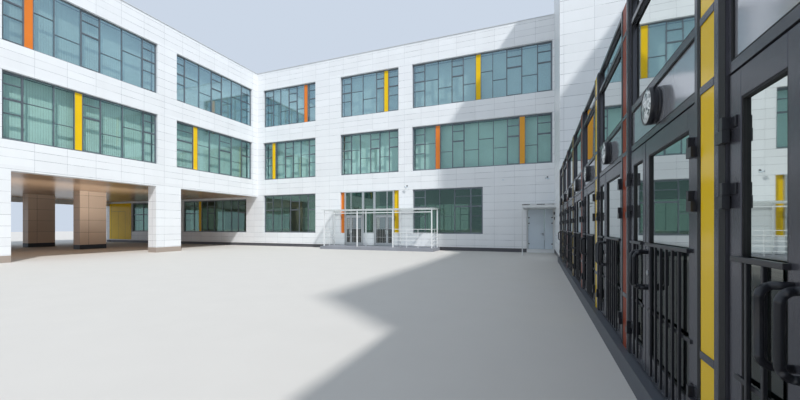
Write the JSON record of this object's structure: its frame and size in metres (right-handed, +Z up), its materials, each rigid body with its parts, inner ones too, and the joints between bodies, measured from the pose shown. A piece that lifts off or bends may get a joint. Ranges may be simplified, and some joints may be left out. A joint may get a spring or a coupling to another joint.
{
  "type": "half-size school building model with hinged doors",
  "caption": "U-shaped three-storey school around an open court: white panel walls, teal window bands, glazed gallery, open passage, canopied entrance; its doors swing.",
  "frame": {"origin": "middle of the plan's box at the level of the court's ground", "axes": "+X along the north wing towards the east wing, +Y from the court's open side to the north wing, +Z up"},
  "size_m": [28.73, 18.1924, 7.72],
  "materials": {
    "anthracite_aluminium": "satin powder coat",
    "clear_glass": "clear",
    "concrete": "cast concrete",
    "grey_aluminium": "satin powder coat",
    "grey_enamel": "satin",
    "lamp_glass": "ribbed, clear",
    "orange_enamel": "gloss",
    "pale_aluminium": "satin anodised",
    "red_enamel": "gloss",
    "taupe_cladding": "matt coil-coated sheet",
    "teal_glass": "tinted, reflecting",
    "white_cladding": "semi-gloss coil-coated sheet",
    "white_steel": "satin",
    "yellow_enamel": "gloss"
  },
  "bodies": {
    "building": {"east_side_walls": "white_cladding", "end_walls": "white_cladding", "entrance_aprons": "white_cladding", "entrance_canopy_beams": "white_steel", "entrance_canopy_posts": "white_steel", "entrance_canopy_roof": "clear_glass", "entrance_platform": "concrete", "entrance_posts": "pale_aluminium", "entrance_railings": "white_steel", "entrance_rails": "pale_aluminium", "floor_slabs": "concrete", "gallery_glass": "clear_glass", "gallery_lamps": "lamp_glass", "gallery_posts": "anthracite_aluminium", "gallery_rails": "anthracite_aluminium", "gallery_roof": "white_cladding", "gallery_spandrels": "grey_enamel", "north_back_wall": "white_cladding", "north_court_wall": "white_cladding", "north_ground_walls": "white_cladding", "orange_panels": "orange_enamel", "parapet_copings": "pale_aluminium", "red_panels": "red_enamel", "roof_slabs": "concrete", "service_canopy": "white_cladding", "service_door_frame": "pale_aluminium", "service_door_head": "white_cladding", "stair_block_walls": "white_cladding", "stair_head_walls": "white_cladding", "stair_roof": "concrete", "undercroft_columns": "taupe_cladding", "undercroft_piers": "white_cladding", "undercroft_soffit": "taupe_cladding", "west_side_walls": "white_cladding", "window_frames": "pale_aluminium", "window_glass": "teal_glass", "yellow_panels": "yellow_enamel"},
    "gallery_door_1_narrow": {"gallery_door_1_narrow": "anthracite_aluminium"},
    "gallery_door_1_wide": {"gallery_door_1_wide": "anthracite_aluminium"},
    "gallery_door_2_narrow": {"gallery_door_2_narrow": "anthracite_aluminium"},
    "gallery_door_2_wide": {"gallery_door_2_wide": "anthracite_aluminium"},
    "gallery_door_3_narrow": {"gallery_door_3_narrow": "anthracite_aluminium"},
    "gallery_door_3_wide": {"gallery_door_3_wide": "anthracite_aluminium"},
    "gallery_door_4_narrow": {"gallery_door_4_narrow": "anthracite_aluminium"},
    "gallery_door_4_wide": {"gallery_door_4_wide": "anthracite_aluminium"},
    "gallery_door_5_narrow": {"gallery_door_5_narrow": "anthracite_aluminium"},
    "gallery_door_5_wide": {"gallery_door_5_wide": "anthracite_aluminium"},
    "gallery_door_6_narrow": {"gallery_door_6_narrow": "anthracite_aluminium"},
    "gallery_door_6_wide": {"gallery_door_6_wide": "anthracite_aluminium"},
    "gallery_door_7_narrow": {"gallery_door_7_narrow": "anthracite_aluminium"},
    "gallery_door_7_wide": {"gallery_door_7_wide": "anthracite_aluminium"},
    "gallery_door_8_narrow": {"gallery_door_8_narrow": "anthracite_aluminium"},
    "gallery_door_8_wide": {"gallery_door_8_wide": "anthracite_aluminium"},
    "entrance_door_1_narrow": {"entrance_door_1_narrow": "grey_aluminium"},
    "entrance_door_1_wide": {"entrance_door_1_wide": "grey_aluminium"},
    "entrance_door_2_wide": {"entrance_door_2_wide": "grey_aluminium"},
    "entrance_door_2_narrow": {"entrance_door_2_narrow": "grey_aluminium"},
    "service_door_wide": {"service_door_wide": "grey_enamel"},
    "service_door_narrow": {"service_door_narrow": "grey_enamel"}
  },
  "joints": [
    {"name": "gallery_door_1_narrow_hinge", "type": "hinge", "parent": "building", "child": "gallery_door_1_narrow", "pos_m": [4.863, -0.77475, 0.101], "axis": [0, 0, -1], "range_deg": [0, 90]},
    {"name": "gallery_door_1_wide_hinge", "type": "hinge", "parent": "building", "child": "gallery_door_1_wide", "pos_m": [4.863, -1.52275, 0.101], "axis": [0, 0, 1], "range_deg": [0, 90]},
    {"name": "gallery_door_2_narrow_hinge", "type": "hinge", "parent": "building", "child": "gallery_door_2_narrow", "pos_m": [4.863, -1.72475, 0.101], "axis": [0, 0, -1], "range_deg": [0, 90]},
    {"name": "gallery_door_2_wide_hinge", "type": "hinge", "parent": "building", "child": "gallery_door_2_wide", "pos_m": [4.863, -2.47275, 0.101], "axis": [0, 0, 1], "range_deg": [0, 90]},
    {"name": "gallery_door_3_narrow_hinge", "type": "hinge", "parent": "building", "child": "gallery_door_3_narrow", "pos_m": [4.863, -2.67475, 0.101], "axis": [0, 0, -1], "range_deg": [0, 90]},
    {"name": "gallery_door_3_wide_hinge", "type": "hinge", "parent": "building", "child": "gallery_door_3_wide", "pos_m": [4.863, -3.42275, 0.101], "axis": [0, 0, 1], "range_deg": [0, 90]},
    {"name": "gallery_door_4_narrow_hinge", "type": "hinge", "parent": "building", "child": "gallery_door_4_narrow", "pos_m": [4.863, -3.62475, 0.101], "axis": [0, 0, -1], "range_deg": [0, 90]},
    {"name": "gallery_door_4_wide_hinge", "type": "hinge", "parent": "building", "child": "gallery_door_4_wide", "pos_m": [4.863, -4.37275, 0.101], "axis": [0, 0, 1], "range_deg": [0, 90]},
    {"name": "gallery_door_5_narrow_hinge", "type": "hinge", "parent": "building", "child": "gallery_door_5_narrow", "pos_m": [4.863, -4.57475, 0.101], "axis": [0, 0, -1], "range_deg": [0, 90]},
    {"name": "gallery_door_5_wide_hinge", "type": "hinge", "parent": "building", "child": "gallery_door_5_wide", "pos_m": [4.863, -5.32275, 0.101], "axis": [0, 0, 1], "range_deg": [0, 90]},
    {"name": "gallery_door_6_narrow_hinge", "type": "hinge", "parent": "building", "child": "gallery_door_6_narrow", "pos_m": [4.863, -5.52475, 0.101], "axis": [0, 0, -1], "range_deg": [0, 90]},
    {"name": "gallery_door_6_wide_hinge", "type": "hinge", "parent": "building", "child": "gallery_door_6_wide", "pos_m": [4.863, -6.27275, 0.101], "axis": [0, 0, 1], "range_deg": [0, 90]},
    {"name": "gallery_door_7_narrow_hinge", "type": "hinge", "parent": "building", "child": "gallery_door_7_narrow", "pos_m": [4.863, -6.47475, 0.101], "axis": [0, 0, -1], "range_deg": [0, 90]},
    {"name": "gallery_door_7_wide_hinge", "type": "hinge", "parent": "building", "child": "gallery_door_7_wide", "pos_m": [4.863, -7.22275, 0.101], "axis": [0, 0, 1], "range_deg": [0, 90]},
    {"name": "gallery_door_8_narrow_hinge", "type": "hinge", "parent": "building", "child": "gallery_door_8_narrow", "pos_m": [4.863, -7.42475, 0.101], "axis": [0, 0, -1], "range_deg": [0, 90]},
    {"name": "gallery_door_8_wide_hinge", "type": "hinge", "parent": "building", "child": "gallery_door_8_wide", "pos_m": [4.863, -8.17275, 0.101], "axis": [0, 0, 1], "range_deg": [0, 90]},
    {"name": "entrance_door_1_narrow_hinge", "type": "hinge", "parent": "building", "child": "entrance_door_1_narrow", "pos_m": [-1.561, 1.86925, 0.101], "axis": [0, 0, -1], "range_deg": [0, 90]},
    {"name": "entrance_door_1_wide_hinge", "type": "hinge", "parent": "building", "child": "entrance_door_1_wide", "pos_m": [-0.933, 1.86925, 0.101], "axis": [0, 0, 1], "range_deg": [0, 90]},
    {"name": "entrance_door_2_wide_hinge", "type": "hinge", "parent": "building", "child": "entrance_door_2_wide", "pos_m": [-0.467, 1.86925, 0.101], "axis": [0, 0, -1], "range_deg": [0, 90]},
    {"name": "entrance_door_2_narrow_hinge", "type": "hinge", "parent": "building", "child": "entrance_door_2_narrow", "pos_m": [0.161, 1.86925, 0.101], "axis": [0, 0, 1], "range_deg": [0, 90]},
    {"name": "service_door_wide_hinge", "type": "hinge", "parent": "building", "child": "service_door_wide", "pos_m": [4.216, 1.91925, 0.101], "axis": [0, 0, -1], "range_deg": [0, 90]},
    {"name": "service_door_narrow_hinge", "type": "hinge", "parent": "building", "child": "service_door_narrow", "pos_m": [4.829, 1.91925, 0.101], "axis": [0, 0, 1], "range_deg": [0, 90]}
  ]
}
